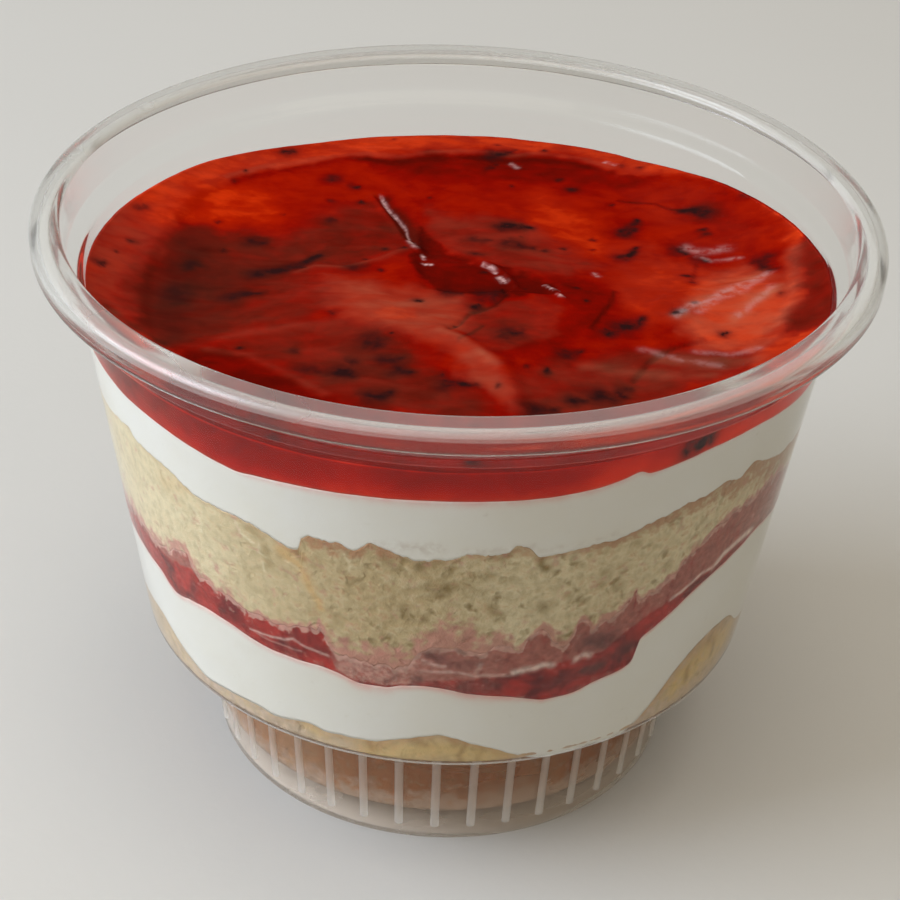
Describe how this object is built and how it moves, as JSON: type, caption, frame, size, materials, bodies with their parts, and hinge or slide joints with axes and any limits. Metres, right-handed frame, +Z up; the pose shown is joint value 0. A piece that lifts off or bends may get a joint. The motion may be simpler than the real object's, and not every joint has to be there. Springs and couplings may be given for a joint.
{
  "type": "strawberry cheesecake cup",
  "caption": "Clear round dessert pot on a ribbed foot, filled with layers of sponge, white cheese cream and red jam under a glossy jelly top.",
  "frame": {"origin": "on the table under the middle of the pot's foot", "axes": "+Z up along the pot's axis, the pictured front faces -Y, +X to the viewer's right"},
  "size_m": [0.093, 0.093, 0.0678],
  "materials": {
    "clear_plastic": "clear polished plastic, faintly warm, with soft reflections on rim and ribs",
    "base_crumb": "moist tan sponge crumb",
    "white_cream": "smooth white cheese cream, satin",
    "red_jam": "wet translucent strawberry jam with clear pockets",
    "pale_crumb": "pale yellow sponge crumb with fine pores and a browner crust line",
    "red_jelly": "glossy translucent strawberry jelly with dark berry flecks"
  },
  "bodies": {
    "root": {"cup": "clear_plastic", "base_sponge": "base_crumb", "lower_cream": "white_cream", "jam_layer": "red_jam", "middle_sponge": "pale_crumb", "upper_cream": "white_cream", "strawberry_jelly": "red_jelly"}
  },
  "joints": []
}
